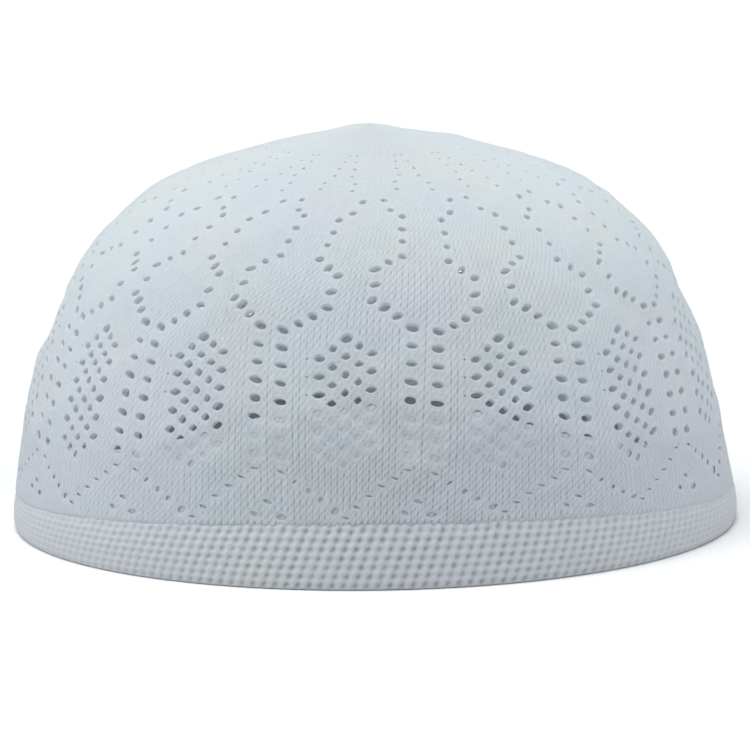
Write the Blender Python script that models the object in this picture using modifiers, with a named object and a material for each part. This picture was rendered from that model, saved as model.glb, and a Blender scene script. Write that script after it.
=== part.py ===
"""Knitted prayer cap: a pierced dome, its thick hem and the layer of the hem that is turned up inside.

The cap stands on its hem. The origin is the centre of the rim, +Z is up, and -Y is the front.
Azimuth is measured from the front, positive towards +X. Lengths are in metres.
"""

import math

import bmesh
import bpy
from mathutils import Matrix, Vector

MM = 0.001

# Outline of the dome, from the rim's plane to the tip: (height, radius)
DOME_OUTLINE = [
    (0.0 * MM, 89.7 * MM),
    (11.0 * MM, 88.2 * MM),
    (22.5 * MM, 86.2 * MM),
    (34.0 * MM, 84.0 * MM),
    (45.0 * MM, 80.6 * MM),
    (55.5 * MM, 76.3 * MM),
    (65.5 * MM, 71.2 * MM),
    (74.5 * MM, 63.9 * MM),
    (81.9 * MM, 54.8 * MM),
    (87.0 * MM, 44.6 * MM),
    (90.5 * MM, 33.6 * MM),
    (93.5 * MM, 22.6 * MM),
    (95.7 * MM, 11.3 * MM),
    (97.6 * MM, 0.0 * MM),
]
SAMPLES_PER_SPAN = 12

# The knit's repeat round the cap, and how far it leans towards +X for each metre along the wall
REPEATS = 14
UNITS_PER_REPEAT = 12
PATTERN_START = math.radians(9.4)
PATTERN_LEAN = math.radians(70.0)
LEAN_FREE_ARC = 62.0 * MM

# Walls and the gaps between the pieces
CROWN_WALL = 1.4 * MM
FACING_WALL = 1.0 * MM
LAYER_GAP = 0.4 * MM
SEAT_GAP = 0.6 * MM

# Hem: mean height, how much taller it stands at the front and back, and its section
HEM_HEIGHT = 12.25 * MM
HEM_SWAY = 3.25 * MM
HEM_SECTION = [
    (0.0 * MM, 85.9 * MM),
    (0.0 * MM, 88.0 * MM),
    (0.8 * MM, 88.8 * MM),
    (3.1 * MM, 89.1 * MM),
    (7.1 * MM, 88.9 * MM),
    (10.9 * MM, 88.4 * MM),
    (12.25 * MM, 87.6 * MM),
    (12.25 * MM, 84.2 * MM),
    (6.2 * MM, 84.9 * MM),
    (0.9 * MM, 85.3 * MM),
]

# Heights along the wall of the crown's rings, which stay clear of the rows of gaps
CROWN_RINGS = [21.0, 30.0, 39.0, 47.5, 56.0, 65.0, 73.0, 81.0, 89.0, 97.0, 105.0, 113.0, 121.0, 129.0, 137.0, 143.5]
SEGMENTS = 56
BASE_BLEND = 30.0 * MM

# Top edge of the facing over one quarter of the cap: (azimuth from front or back, height)
FACING_TOP = [
    (0.0, 42.0 * MM),
    (8.0, 41.5 * MM),
    (17.0, 39.5 * MM),
    (24.0, 36.5 * MM),
    (30.0, 33.5 * MM),
    (45.0, 28.5 * MM),
    (57.0, 26.5 * MM),
    (75.0, 25.0 * MM),
    (90.0, 25.0 * MM),
]
FACING_RINGS = 4

# Soft dents and swellings of the wall: (centre x, centre y, centre z, reach, depth outward)
DENTS = [
    (-86.0 * MM, 0.0 * MM, 26.0 * MM, 16.0 * MM, 0.7 * MM),
    (-82.0 * MM, 0.0 * MM, 43.0 * MM, 5.0 * MM, 0.6 * MM),
    (-78.0 * MM, 0.0 * MM, 51.0 * MM, 5.0 * MM, -0.5 * MM),
    (84.0 * MM, 0.0 * MM, 28.0 * MM, 16.0 * MM, -0.6 * MM),
    (76.0 * MM, 0.0 * MM, 56.0 * MM, 5.0 * MM, -1.0 * MM),
    (70.0 * MM, 0.0 * MM, 68.0 * MM, 9.0 * MM, 0.4 * MM),
    (-63.0 * MM, 0.0 * MM, 76.0 * MM, 9.0 * MM, -0.3 * MM),
    (-5.5 * MM, 2.0 * MM, 97.0 * MM, 4.5 * MM, 0.9 * MM),
    (12.5 * MM, 4.0 * MM, 96.0 * MM, 4.0 * MM, -0.9 * MM),
    (20.0 * MM, 4.0 * MM, 95.0 * MM, 5.0 * MM, 0.6 * MM),
]

# Gaps cut through the crown: every second pair of the twin columns of eyelets
EYELET_COLUMNS = [-1.0, 1.0]
EYELET_TOP_ARC = 60.4 * MM
EYELET_PITCH = 8.6 * MM
EYELET_ROWS = 4
EYELET_WIDTH = 3.0 * MM
EYELET_HEIGHT = 1.8 * MM
EYELET_SIDES = 6
CUTTER_DEPTH = 5.0 * MM

MERGE_DISTANCE = 0.0001

KNIT_COLOUR = (0.80, 0.84, 0.87, 1.0)
HEM_COLOUR = (0.77, 0.80, 0.83, 1.0)
FACING_COLOUR = (0.74, 0.78, 0.81, 1.0)
KNIT_ROUGHNESS = 0.85


def clear_scene():
    """Remove every object of the open scene."""
    for old_object in list(bpy.data.objects):
        bpy.data.objects.remove(old_object, do_unlink=True)


def curve_point(before, start, end, after, t):
    """Return the point at t of the smooth span from start to end, each (height, radius)."""
    coordinates = []
    for a, b, c, d in zip(before, start, end, after):
        linear = (c - a) * t
        square = (2 * a - 5 * b + 4 * c - d) * t * t
        cubic = (3 * b - a - 3 * c + d) * t * t * t
        coordinates.append(0.5 * (2 * b + linear + square + cubic))
    return tuple(coordinates)


def smooth_outline():
    """Return the dome's outline as closely spaced (arc length, height, radius) samples."""
    first, second = DOME_OUTLINE[0], DOME_OUTLINE[1]
    lead = (2 * first[0] - second[0], 2 * first[1] - second[1])
    mirrored = (DOME_OUTLINE[-2][0], -DOME_OUTLINE[-2][1])
    knots = [lead] + DOME_OUTLINE + [mirrored]
    points = []
    for i in range(1, len(knots) - 2):
        for step in range(SAMPLES_PER_SPAN):
            t = step / SAMPLES_PER_SPAN
            points.append(curve_point(knots[i - 1], knots[i], knots[i + 1], knots[i + 2], t))
    points.append(DOME_OUTLINE[-1])
    samples = [(0.0, points[0][0], points[0][1])]
    for before, after in zip(points, points[1:]):
        arc = samples[-1][0] + math.dist(before, after)
        samples.append((arc, after[0], after[1]))
    return samples


OUTLINE = smooth_outline()


def interpolate(rows, key):
    """Return the linearly interpolated values of a table whose rows start with a rising key."""
    if key <= rows[0][0]:
        return rows[0][1:]
    for low, high in zip(rows, rows[1:]):
        if key <= high[0]:
            share = (key - low[0]) / (high[0] - low[0])
            return tuple(a + (b - a) * share for a, b in zip(low[1:], high[1:]))
    return rows[-1][1:]


def arc_at_height(height):
    """Return the arc length along the outline at a height."""
    by_height = [(z, arc) for arc, z, radius in OUTLINE]
    return interpolate(by_height, height)[0]


def hem_top(azimuth):
    """Return the height of the hem's top edge at an azimuth."""
    return HEM_HEIGHT + HEM_SWAY * math.cos(2 * azimuth)


def facing_top(azimuth):
    """Return the height of the facing's top edge at an azimuth."""
    from_front = math.degrees(math.acos(min(1.0, abs(math.cos(azimuth)))))
    return interpolate(FACING_TOP, from_front)[0]


def lean(arc):
    """Return how far the knit's repeat has turned at an arc length along the wall."""
    return PATTERN_LEAN * (arc - LEAN_FREE_ARC)


def wall_point(arc, azimuth, inset=0.0):
    """Return the wall's point and outward normal, at an inset from its undented outer face."""
    height, radius = interpolate(OUTLINE, arc)
    near = interpolate(OUTLINE, arc - 0.5 * MM)
    far = interpolate(OUTLINE, arc + 0.5 * MM)
    rise, run = far[0] - near[0], far[1] - near[1]
    length = math.hypot(rise, run)
    slope = Vector((math.sin(azimuth) * rise, -math.cos(azimuth) * rise, -run)) / length
    position = Vector((math.sin(azimuth) * radius, -math.cos(azimuth) * radius, height))
    return position - slope * inset, slope


def dented(position, normal):
    """Return a wall's point moved along its normal by the dents and swellings near it."""
    shift = 0.0
    for x, y, z, reach, depth in DENTS:
        distance = (position - Vector((x, y, z))).length / reach
        shift += depth * math.exp(-distance * distance)
    return position + normal * shift


def knit_material(name, colour):
    """Return a matt white material for one layer of the knit."""
    material = bpy.data.materials.new(name)
    material.use_nodes = True
    shader = material.node_tree.nodes["Principled BSDF"]
    shader.inputs["Base Color"].default_value = colour
    shader.inputs["Roughness"].default_value = KNIT_ROUGHNESS
    shader.inputs["Metallic"].default_value = 0.0
    material.diffuse_color = colour
    return material


def new_object(name, shape, collection, colour=None):
    """Return a new object that holds a bmesh, shaded smooth, in a collection."""
    mesh = bpy.data.meshes.new(name)
    shape.to_mesh(mesh)
    shape.free()
    mesh.shade_smooth()
    new = bpy.data.objects.new(name, mesh)
    if colour:
        mesh.materials.append(knit_material(name, colour))
    collection.objects.link(new)
    return new


def spun(outline, closed):
    """Return a bmesh of an outline of (height, radius) points turned round the axis."""
    shape = bmesh.new()
    corners = [shape.verts.new((0.0, -radius, height)) for height, radius in outline]
    ends = zip(corners, corners[1:] + corners[:1] if closed else corners[1:])
    edges = [shape.edges.new(pair) for pair in ends]
    bmesh.ops.spin(
        shape,
        geom=corners + edges,
        axis=(0.0, 0.0, 1.0),
        cent=(0.0, 0.0, 0.0),
        steps=SEGMENTS,
        angle=math.tau,
        use_merge=True,
    )
    bmesh.ops.remove_doubles(shape, verts=shape.verts, dist=MERGE_DISTANCE)
    bmesh.ops.recalc_face_normals(shape, faces=shape.faces)
    return shape


def azimuth_of(position):
    """Return the azimuth of a point, measured from the front towards +X."""
    return math.atan2(position.x, -position.y)


def add_wall(target, thickness):
    """Thicken a surface inwards by a wall thickness."""
    wall = target.modifiers.new("wall", "SOLIDIFY")
    wall.thickness = thickness
    wall.offset = -1.0
    wall.use_even_offset = True


def eyelet_cutters(collection):
    """Return one object that holds a cutter for each gap of the crown."""
    shape = bmesh.new()
    unit = math.tau / (REPEATS * UNITS_PER_REPEAT)
    flatten = Matrix.Diagonal((1.0, EYELET_HEIGHT / EYELET_WIDTH, 1.0, 1.0))
    for repeat in range(REPEATS):
        for column in EYELET_COLUMNS:
            for row in range(EYELET_ROWS):
                arc = EYELET_TOP_ARC - row * EYELET_PITCH
                azimuth = PATTERN_START + (repeat * UNITS_PER_REPEAT + column) * unit + lean(arc)
                position, normal = wall_point(arc, azimuth, CROWN_WALL / 2)
                across = Vector((math.cos(azimuth), math.sin(azimuth), 0.0))
                turn = Matrix((across, normal.cross(across), normal)).transposed().to_4x4()
                bmesh.ops.create_cone(
                    shape,
                    cap_ends=True,
                    segments=EYELET_SIDES,
                    radius1=EYELET_WIDTH / 2,
                    radius2=EYELET_WIDTH / 2,
                    depth=CUTTER_DEPTH,
                    matrix=Matrix.Translation(position) @ turn @ flatten,
                )
    cutters = new_object("eyelet_cutters", shape, collection)
    cutters.display_type = "WIRE"
    cutters.hide_render = True
    return cutters


def build_crown(collection, cutters):
    """Return the dome: a turned wall that leans with the knit, is dented, and is pierced."""
    base_arc = arc_at_height(HEM_HEIGHT + SEAT_GAP)
    arcs = [base_arc] + [ring * MM for ring in CROWN_RINGS] + [OUTLINE[-1][0]]
    shape = spun([interpolate(OUTLINE, arc) for arc in arcs], closed=False)
    for corner in shape.verts:
        arc = arc_at_height(corner.co.z)
        azimuth = azimuth_of(corner.co) + lean(arc) + PATTERN_START
        base_share = max(0.0, 1.0 - (arc - base_arc) / BASE_BLEND)
        arc += (hem_top(azimuth) - HEM_HEIGHT) * base_share
        corner.co = dented(*wall_point(arc, azimuth))
    crown = new_object("crown", shape, collection, KNIT_COLOUR)
    add_wall(crown, CROWN_WALL)
    gaps = crown.modifiers.new("eyelets", "BOOLEAN")
    gaps.operation = "DIFFERENCE"
    gaps.solver = "EXACT"
    gaps.object = cutters
    return crown


def build_hem_band(collection):
    """Return the hem: a turned thick band, flat underneath, taller at the front and back."""
    shape = spun(HEM_SECTION, closed=True)
    for corner in shape.verts:
        corner.co.z *= hem_top(azimuth_of(corner.co)) / HEM_HEIGHT
    return new_object("hem_band", shape, collection, HEM_COLOUR)


def build_inner_facing(collection):
    """Return the hem's turned-up layer: a thin wall that follows the crown's inner face."""
    base_arc = arc_at_height(HEM_HEIGHT + SEAT_GAP)
    top_arc = arc_at_height(FACING_TOP[0][1])
    shares = [ring / FACING_RINGS for ring in range(FACING_RINGS + 1)]
    arcs = [base_arc + (top_arc - base_arc) * share for share in shares]
    shape = spun([interpolate(OUTLINE, arc) for arc in arcs], closed=False)
    for corner in shape.verts:
        azimuth = azimuth_of(corner.co)
        share = (arc_at_height(corner.co.z) - base_arc) / (top_arc - base_arc)
        low = arc_at_height(hem_top(azimuth) + SEAT_GAP)
        high = arc_at_height(facing_top(azimuth))
        position, normal = wall_point(low + (high - low) * share, azimuth)
        corner.co = dented(position, normal) - normal * (CROWN_WALL + LAYER_GAP)
    facing = new_object("inner_facing", shape, collection, FACING_COLOUR)
    add_wall(facing, FACING_WALL)
    return facing


def main():
    """Build the cap's three pieces under one empty."""
    clear_scene()
    parts = bpy.data.collections.new("prayer_cap")
    tools = bpy.data.collections.new("cutters")
    bpy.context.scene.collection.children.link(parts)
    bpy.context.scene.collection.children.link(tools)
    root = bpy.data.objects.new("prayer_cap_root", None)
    parts.objects.link(root)
    cutters = eyelet_cutters(tools)
    pieces = [build_crown(parts, cutters), build_hem_band(parts), build_inner_facing(parts)]
    for piece in pieces:
        piece.parent = root


main()
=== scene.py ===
"""Dressed scene of a white knitted prayer cap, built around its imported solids.

The cap stands on its hem at the origin, +Z is up and -Y is the front. Azimuth is measured from the
front, positive towards +X. Lengths are in metres where a class doesn't say millimetres. The knit is
laid out in units across, each of two wales, and in courses up the wall, counted from the top eyelet of
the twin columns.
"""

import logging
import math
from dataclasses import dataclass
from enum import Enum
from typing import NamedTuple

import bpy
import numpy as np
from mathutils import Matrix, Vector
from mathutils.geometry import delaunay_2d_cdt


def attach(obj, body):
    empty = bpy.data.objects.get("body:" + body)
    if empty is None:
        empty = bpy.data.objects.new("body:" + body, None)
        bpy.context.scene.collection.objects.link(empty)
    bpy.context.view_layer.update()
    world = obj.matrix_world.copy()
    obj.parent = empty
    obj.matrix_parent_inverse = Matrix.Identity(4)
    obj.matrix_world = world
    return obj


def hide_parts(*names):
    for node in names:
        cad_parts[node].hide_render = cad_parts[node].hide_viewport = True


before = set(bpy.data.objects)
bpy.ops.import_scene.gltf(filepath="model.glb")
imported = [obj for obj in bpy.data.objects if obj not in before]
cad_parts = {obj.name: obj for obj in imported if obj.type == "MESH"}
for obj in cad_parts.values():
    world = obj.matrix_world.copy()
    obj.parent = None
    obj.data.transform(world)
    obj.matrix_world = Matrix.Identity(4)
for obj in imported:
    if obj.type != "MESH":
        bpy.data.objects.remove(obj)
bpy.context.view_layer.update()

Array = np.ndarray
Colour = tuple[float, float, float, float]
# Settings of a shader node by name, or its inputs by socket.
Options = dict[int | str, object]
# Rows of a place and the value there.
Table = tuple[tuple[float, float], ...]
Pair = tuple[int, int]
# Three corners, each with the neighbour repeat that it belongs to: -1, 0 or 1.
Triangle = tuple[Pair, ...]
MM = 0.001
log = logging.getLogger("prayer_cap")


def blend_in(values: Array, start: float, end: float) -> Array:
    """Give a smooth share that goes from 0 at start to 1 at end.

    Args:
        values: Values to look up.
        start: Value at which the share is 0.
        end: Value at which the share is 1.

    Returns:
        The share of each value, from 0 to 1.
    """
    share = np.clip((values - start) / (end - start), 0.0, 1.0)
    return share * share * (3.0 - 2.0 * share)


def plateau(values: Array, ramp: tuple[float, ...]) -> Array:
    """Give a smooth share that rises from 0 to 1 and later falls back to 0.

    Args:
        values: Values to look up.
        ramp: Values at which the share starts to rise, is full, starts to fall and is 0 again.

    Returns:
        The share of each value, from 0 to 1.
    """
    start, full, fading, end = ramp
    return blend_in(values, start, full) * (1.0 - blend_in(values, fading, end))


def read_table(table: Table, place: Array) -> Array:
    """Give the value at each place, between the places and values of a table."""
    return np.interp(place, *np.array(table, float).T)


@dataclass
class DomeOutline:
    """The dome's outline from the rim to the tip, with the dents and slight bumps in its wall.

    Attributes:
        knots: Height and radius of the outline's knots, in millimetres.
        samples_per_span: Samples between two knots.
        dents: Centre x, y, z, reach and outward depth of each dent or swelling, in millimetres.
        puckers: Waves round the cap, radians up the wall for each millimetre, phase, and height in
            millimetres of each set of slight bumps in the cloth.
        loose: Lengths up the wall where the bumps start, are full, start to fade and end, in millimetres.
    """

    knots: Table = (
        (0.0, 89.7), (11.0, 88.2), (22.5, 86.2), (34.0, 84.0), (45.0, 80.6), (55.5, 76.3), (65.5, 71.2),
        (74.5, 63.9), (81.9, 54.8), (87.0, 44.6), (90.5, 33.6), (93.5, 22.6), (95.7, 11.3), (97.6, 0.0),
    )
    samples_per_span: int = 12
    dents: tuple[tuple[float, float, float, float, float], ...] = (
        (-86.0, 0.0, 26.0, 16.0, 0.7), (-82.0, 0.0, 43.0, 5.0, 0.6), (-78.0, 0.0, 51.0, 5.0, -1.5),
        (84.0, 0.0, 28.0, 16.0, -0.6), (76.0, 0.0, 56.0, 5.0, -1.0), (70.0, 0.0, 68.0, 9.0, 0.4),
        (-63.0, 0.0, 76.0, 9.0, -0.3), (-5.5, 2.0, 97.0, 4.5, 0.3), (12.5, 4.0, 96.0, 4.0, -0.9),
        (20.0, 4.0, 95.0, 5.0, 0.6),
    )
    puckers: tuple[tuple[int, float, float, float], ...] = (
        (13, 0.29, 0.4, 0.15), (23, 0.47, 2.1, 0.13), (31, 0.68, 4.0, 0.10), (9, 0.23, 1.0, 0.15),
    )
    loose: tuple[float, ...] = (18.0, 32.0, 90.0, 125.0)

    def __post_init__(self) -> None:
        """Sample the outline as a smooth curve through its knots and measure its length."""
        first, second = self.knots[0], self.knots[1]
        lead = (2 * first[0] - second[0], 2 * first[1] - second[1])
        mirrored = (self.knots[-2][0], -self.knots[-2][1])
        knots = np.array([lead, *self.knots, mirrored]) * MM
        t = (np.arange(self.samples_per_span) / self.samples_per_span)[:, None]
        spans = []
        for a, b, c, d in zip(knots, knots[1:], knots[2:], knots[3:]):
            linear = (c - a) * t
            square = (2 * a - 5 * b + 4 * c - d) * t * t
            cubic = (3 * b - a - 3 * c + d) * t * t * t
            spans.append(0.5 * (2 * b + linear + square + cubic))
        points = np.vstack([*spans, knots[-2:-1]])
        steps = np.linalg.norm(np.diff(points, axis=0), axis=1)
        self.arcs = np.concatenate([[0.0], np.cumsum(steps)])
        self.heights = points[:, 0]
        self.radii = points[:, 1]

    def arc_at(self, height: Array) -> Array:
        """Give the length along the wall at a height."""
        return np.interp(height, self.heights, self.arcs)

    def height_at(self, arc: Array) -> Array:
        """Give the height at a length along the wall."""
        return np.interp(arc, self.arcs, self.heights)

    def radius_at(self, arc: Array) -> Array:
        """Give the radius at a length along the wall."""
        return np.interp(arc, self.arcs, self.radii)

    def place(self, arc: Array, azimuth: Array, inset: Array) -> Array:
        """Place points on or behind the dented wall.

        Args:
            arc: Lengths along the wall from the rim.
            azimuth: Azimuths in radians.
            inset: Depths behind the wall's outer face, negative in front of it.

        Returns:
            The points, one row each.
        """
        half = 0.5 * MM
        rise = self.height_at(arc + half) - self.height_at(arc - half)
        run = self.radius_at(arc + half) - self.radius_at(arc - half)
        length = np.hypot(rise, run)
        rise, run = rise / length, run / length
        radius = self.radius_at(arc)
        sine, cosine = np.sin(azimuth), np.cos(azimuth)
        normal = np.stack([sine * rise, -cosine * rise, -run], axis=1)
        spot = np.stack([sine * radius, -cosine * radius, self.height_at(arc)], axis=1)
        shift = -inset
        for x, y, z, reach, depth in self.dents:
            distance = np.linalg.norm(spot - np.array([x, y, z]) * MM, axis=1) / (reach * MM)
            shift = shift + depth * MM * np.exp(-distance * distance)
        loose = plateau(arc, tuple(edge * MM for edge in self.loose)) * MM
        for waves, along, phase, height in self.puckers:
            bumps = np.sin(waves * azimuth + phase) * np.sin(along * arc / MM + 2.0 * phase)
            shift = shift + height * loose * bumps
        return spot + normal * shift[:, None]


@dataclass
class HemLine:
    """How high the hem stands and how far its turned-up layer reaches, round the cap.

    Attributes:
        height: Mean height of the hem.
        sway: How much taller it stands at the front and back than that mean.
        facing_top: Degrees from front or back, and height of the facing's top edge in millimetres.
    """

    height: float = 12.25 * MM
    sway: float = 3.25 * MM
    facing_top: Table = (
        (0.0, 42.0), (8.0, 41.5), (17.0, 39.5), (24.0, 36.5), (30.0, 33.5), (45.0, 28.5), (57.0, 26.5),
        (75.0, 25.0), (90.0, 25.0),
    )

    def top(self, azimuth: Array) -> Array:
        """Give the height of the hem's top edge."""
        return self.height + self.sway * np.cos(2 * azimuth)

    def facing(self, azimuth: Array) -> Array:
        """Give the height of the facing's top edge."""
        from_front = np.degrees(np.arccos(np.clip(np.abs(np.cos(azimuth)), 0.0, 1.0)))
        return read_table(self.facing_top, from_front) * MM


@dataclass
class KnitLayout:
    """Where each unit and course of the knit lies on the wall.

    Azimuths in its tables are in degrees, and lengths in millimetres.

    Attributes:
        outline: The dome's outline.
        repeats: Repeats of the pattern round the cap.
        units: Units in a repeat.
        start: Azimuth of the first twin columns where they stand upright.
        courses: Course, and the length along the wall at which it lies.
        lean_low: Azimuth, and degrees by which the lower wall's columns lean there for each millimetre.
        upright_arc: Length along the wall from which that lean is counted.
        shoulder_arc: Length along the wall at which that lean ends.
        lean_high: Length along the wall, and how far the columns have leaned by there above the shoulder.
        sag: Azimuth, and how far the courses below the shoulder hang down there.
        sag_courses: Courses at which the sag starts, is full, starts to fade and ends.
        lift: Azimuth, and how far the courses are pushed up there.
        lift_courses: Courses at which the lift starts, is full, starts to fade and ends.
        twist_at: Azimuths of the twist table's columns.
        twist: Course, and the degrees by which it is twisted round the cap at each of those azimuths.
        wave: Course, and how far it waves up and down within a repeat.
        side_drop: How much lower the foot's courses run at the sides than at the front.
        drop_arcs: Lengths along the wall where that drop is full and where it ends.
    """

    outline: DomeOutline
    repeats: int = 14
    units: int = 12
    start: float = 8.2
    courses: Table = (
        (-26, 9.6), (-23, 15.2), (-21, 18.9), (-20, 20.5), (-19, 22.4), (-18, 24.2), (-17, 25.9),
        (-16, 27.5), (-14, 30.8), (0, 60.4), (1, 62.3), (2, 64.1), (3, 65.9), (5, 69.8), (7, 74.0),
        (9, 78.1), (11, 82.4), (13, 86.5), (15, 90.7), (16, 93.2), (18, 97.7), (20, 102.2), (24, 110.5),
        (28, 119.0), (30, 123.0), (43, 149.3),
    )
    lean_low: Table = (
        (-180, 0.03), (-90, 0.0), (-60, -0.02), (-45, -0.03), (-15, -0.045), (8, 0.067), (35, 0.045),
        (60, 0.065), (90, 0.05), (180, 0.03),
    )
    upright_arc: float = 45.0
    shoulder_arc: float = 62.0
    lean_high: Table = ((62, 0.0), (75, 0.86), (92, 2.9), (110, 4.4), (150, 7.0))
    sag: Table = (
        (-180, 0), (-95, 0), (-70, 0.7), (-43, 1.0), (-30, 1.1), (-18, 0.65), (-5, 0.7), (8, 0.25),
        (20, 0), (180, 0),
    )
    sag_courses: tuple[float, ...] = (-26.0, -21.0, -1.0, 3.0)
    lift: Table = (
        (-180, 0), (-95, 0), (-70, -2.0), (-45, -0.5), (-20, 0.8), (0, 0.6), (20, -1.2), (45, -3.0),
        (60, -0.8), (75, 1.0), (95, 0), (180, 0),
    )
    lift_courses: tuple[float, ...] = (-23.0, -17.0, 8.0, 26.0)
    twist_at: tuple[float, ...] = (-180, -72, -58, -45, -32, -20, -8, 6, 20, 32, 45, 58, 70, 180)
    twist: tuple[tuple[float, tuple[float, ...]], ...] = (
        (-16, (3, 0, 0, 0, 0, 0, 0, 0, 0, 0, 0, 0, 0, 3)),
        (-8, (3, 0.6, 0.6, 0.2, 0.1, 0, 0, -0.1, 0.2, 0.6, 0.7, 0.6, 0.2, 3)),
        (-1, (3, 1.5, 1.1, 0.7, 0, -0.1, 0, 0, 0.4, 0.9, 0.8, 0.4, 0.1, 3)),
        (3, (3, 3.4, 2.7, 2.0, 0.9, 0.5, 0.1, 0.3, 0.7, 0.9, 0.6, -0.2, -0.9, 3)),
        (7, (3, 5.8, 4.8, 3.5, 2.2, 1.7, 0.8, 0.5, 0.7, 0.5, -0.3, -1.4, -2.7, 3)),
        (11, (3, 8.5, 6.7, 4.9, 3.6, 2.8, 1.6, 0.5, 0, -0.4, -1.7, -3.4, -5.1, 3)),
        (15, (3, 11.0, 8.7, 6.4, 4.9, 3.6, 2.0, 0.4, -0.7, -1.9, -3.5, -5.7, -7.8, 3)),
        (18, (3, 12.5, 10.2, 8.0, 6.1, 4.3, 2.3, 0.5, -1.2, -2.9, -4.8, -7.2, -9.4, 3)),
    )
    wave: Table = (
        (-23, 0), (-21, 0.7), (-1, 0.7), (1, 1.2), (7, 1.2), (9, 0.6), (18, 0.6), (24, 0.3), (30, 0),
    )
    side_drop: float = 3.5
    drop_arcs: tuple[float, float] = (15.2, 45.2)

    def arc_of(self, course: Array) -> Array:
        """Give the length along the wall of a course, in millimetres."""
        return read_table(self.courses, course)

    def unit_width(self, course: float) -> float:
        """Give the width of a unit at a course, in millimetres."""
        radius = float(self.outline.radius_at(self.arc_of(course) * MM)) / MM
        return math.tau * radius / (self.repeats * self.units)

    def course_height(self, course: float) -> float:
        """Give the height of a course, in millimetres."""
        return float(self.arc_of(course + 0.5) - self.arc_of(course - 0.5))

    def spot(self, unit: Array, course: Array) -> tuple[Array, Array]:
        """Find where a unit and course lie on the wall.

        Args:
            unit: Units round the cap from the first twin columns.
            course: Courses up the wall.

        Returns:
            Length along the wall in metres, and azimuth in radians.
        """
        arc = self.arc_of(course)
        plain = self.start + unit * 360.0 / (self.repeats * self.units)
        wrapped = (plain + 180.0) % 360.0 - 180.0
        turn = read_table(self.lean_low, wrapped) * (np.minimum(arc, self.shoulder_arc) - self.upright_arc)
        turn += read_table(self.lean_high, arc) + self._twist_of(wrapped, course)
        azimuth = np.radians(plain + turn)
        arc = arc - read_table(self.wave, course) * np.sin(math.tau * unit / self.units)
        arc = arc + read_table(self.lift, wrapped) * plateau(course, self.lift_courses)
        arc = arc - read_table(self.sag, wrapped) * plateau(course, self.sag_courses)
        low, high = self.drop_arcs
        share = np.clip((high - arc) / (high - low), 0.0, 1.0)
        return (arc - self.side_drop * np.sin(azimuth) ** 2 * share) * MM, azimuth

    def _twist_of(self, azimuth: Array, course: Array) -> Array:
        """Read the twist table between its azimuths and courses.

        Args:
            azimuth: Azimuths in degrees, from -180 to 180.
            course: Courses up the wall.

        Returns:
            The twist in degrees at each.
        """
        courses = np.array([row for row, _ in self.twist], float)
        lines = np.array([np.interp(azimuth, self.twist_at, values) for _, values in self.twist])
        place = np.interp(course, courses, np.arange(len(courses)))
        low = np.minimum(place.astype(int), len(courses) - 2)
        each = np.arange(len(azimuth))
        return lines[low, each] + (lines[low + 1, each] - lines[low, each]) * (place - low)


class EyeletShape(NamedTuple):
    """Size and form of an eyelet.

    Attributes:
        width: Width in millimetres.
        height: Height in millimetres.
        power: 2 for an oval, less for a lens or a rhombus with pointed ends.
        peak: How far it narrows towards its top.
    """

    width: float
    height: float
    power: float
    peak: float


class Eyelet(Enum):
    """The kinds of eyelet in the pattern."""

    COLUMN = EyeletShape(2.75, 1.6, 2.1, 0.0)
    LENS = EyeletShape(2.75, 1.65, 1.6, 0.0)
    STRAND = EyeletShape(2.0, 1.75, 1.5, 0.25)
    HEAD = EyeletShape(3.4, 2.0, 1.7, 0.1)
    SLIT = EyeletShape(1.9, 0.65, 1.6, 0.0)
    ARM = EyeletShape(1.6, 1.1, 1.8, 0.0)
    TOE = EyeletShape(2.1, 1.6, 1.8, 0.0)
    HEEL = EyeletShape(2.2, 0.85, 1.6, 0.0)
    FOOT = EyeletShape(2.9, 1.8, 1.5, 0.0)
    CHAIN = EyeletShape(2.65, 1.6, 1.9, 0.0)
    BALLOON = EyeletShape(2.5, 1.5, 1.8, 0.0)
    OVAL = EyeletShape(2.1, 1.4, 1.8, 0.0)
    CROWN = EyeletShape(1.15, 0.85, 2.0, 0.0)
    TIP = EyeletShape(0.7, 0.65, 2.0, 0.0)
    PINHOLE = EyeletShape(0.55, 0.5, 2.0, 0.0)


class Run(NamedTuple):
    """A run of like eyelets in the chart.

    Attributes:
        kind: Kind of eyelet.
        units: Units from the repeat's twin columns.
        courses: Courses at which the run has an eyelet in each of those units.
        tilt: Degrees by which the eyelets are turned, positive up to the right.
    """

    kind: Eyelet
    units: tuple[float, ...]
    courses: tuple[float, ...]
    tilt: float = 0.0


class Bore(NamedTuple):
    """One eyelet of a repeat.

    Attributes:
        unit: Units from the repeat's start.
        course: Courses up the wall.
        shape: Its size and form.
        tilt: Degrees by which it is turned, positive up to the right.
    """

    unit: float
    course: float
    shape: EyeletShape
    tilt: float


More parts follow.
